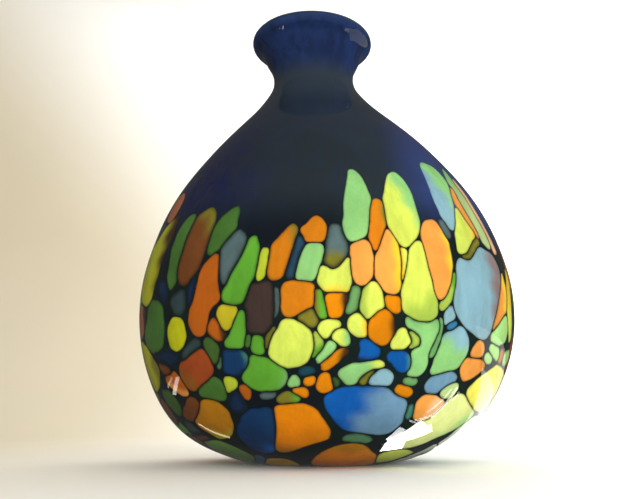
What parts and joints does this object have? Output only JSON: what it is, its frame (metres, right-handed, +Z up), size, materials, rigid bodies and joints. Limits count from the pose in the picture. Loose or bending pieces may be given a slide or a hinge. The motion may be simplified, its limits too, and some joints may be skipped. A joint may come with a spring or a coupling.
{
  "type": "blown glass vase",
  "caption": "Round-bodied hand blown glass vase with a narrow neck and thick flared lip, clear glass over a cobalt bubble inlaid with coloured glass chips.",
  "frame": {"origin": "on the standing plane, under the axis of the widest ring of the body", "axes": "+Z up through the mouth; +X to the right and -Y towards the viewer of the side shown, the neck wandering a little towards -X"},
  "size_m": [0.1858, 0.1858, 0.2275],
  "materials": {
    "clear_glass": "fire polished",
    "cobalt_glass": "fire polished",
    "amber_glass": "cased",
    "grey_blue_glass": "cased",
    "leaf_green_glass": "cased",
    "lime_glass": "cased",
    "maroon_glass": "cased",
    "mint_glass": "cased",
    "olive_glass": "cased",
    "opal_glass": "cased",
    "orange_glass": "cased",
    "royal_blue_glass": "cased",
    "yellow_glass": "cased"
  },
  "bodies": {
    "root": {"clear_casing": "clear_glass", "cobalt_bubble": "cobalt_glass", "chips_amber_lower": "amber_glass", "chips_amber_middle": "amber_glass", "chips_amber_upper": "amber_glass", "chips_grey_blue_lower": "grey_blue_glass", "chips_grey_blue_middle": "grey_blue_glass", "chips_grey_blue_upper": "grey_blue_glass", "chips_leaf_green_lower": "leaf_green_glass", "chips_leaf_green_middle": "leaf_green_glass", "chips_leaf_green_upper": "leaf_green_glass", "chips_lime_lower": "lime_glass", "chips_lime_middle": "lime_glass", "chips_lime_upper": "lime_glass", "chips_maroon": "maroon_glass", "chips_mint_lower": "mint_glass", "chips_mint_middle": "mint_glass", "chips_mint_upper": "mint_glass", "chips_olive": "olive_glass", "chips_opal": "opal_glass", "chips_orange_lower": "orange_glass", "chips_orange_middle": "orange_glass", "chips_orange_upper": "orange_glass", "chips_royal_blue_lower": "royal_blue_glass", "chips_royal_blue_middle": "royal_blue_glass", "chips_royal_blue_upper": "royal_blue_glass", "chips_yellow_lower": "yellow_glass", "chips_yellow_middle": "yellow_glass", "chips_yellow_upper": "yellow_glass"}
  },
  "joints": []
}
